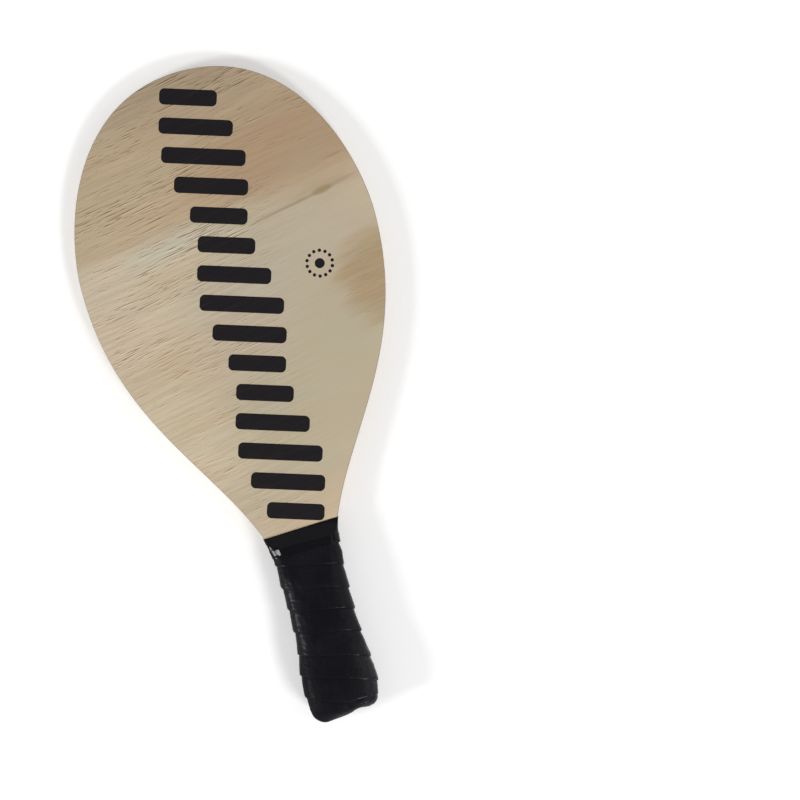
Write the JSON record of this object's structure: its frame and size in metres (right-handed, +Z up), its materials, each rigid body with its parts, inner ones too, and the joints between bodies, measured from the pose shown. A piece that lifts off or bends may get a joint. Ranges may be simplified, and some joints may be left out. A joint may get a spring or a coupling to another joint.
{
  "type": "frescobol racket",
  "caption": "Flat wooden beach racket: an egg-shaped plywood blade that narrows into a tape-wound handle with a flared butt.",
  "frame": {"origin": "middle of the underside of the racket's box, on the flat where the winding rests on the ground", "axes": "+Y from the butt to the tip, +X to the right seen from the front, +Z up out of the front face"},
  "size_m": [0.205, 0.45, 0.0322],
  "materials": {
    "face_veneer": "pale veneer, grain across the blade, satin varnish",
    "inner_veneer": "bare veneer edges, sanded and eased",
    "handle_wood": "bare sanded wood",
    "foam": "closed-cell foam, matte",
    "pad": "folded tape over a soft pad, satin",
    "grip_tape": "soft synthetic grip tape, black, satin",
    "finishing_tape": "smooth stretched vinyl tape, black, glossy"
  },
  "bodies": {
    "root": {"back_face_veneer": "face_veneer", "back_veneer_2": "inner_veneer", "back_veneer_3": "inner_veneer", "core_veneer": "inner_veneer", "front_veneer_3": "inner_veneer", "front_veneer_2": "inner_veneer", "front_face_veneer": "face_veneer", "front_handle_scale": "handle_wood", "back_handle_scale": "handle_wood", "foam_sleeve": "foam", "butt_pad": "pad", "grip_tape": "grip_tape", "finishing_tape": "finishing_tape"}
  },
  "joints": []
}
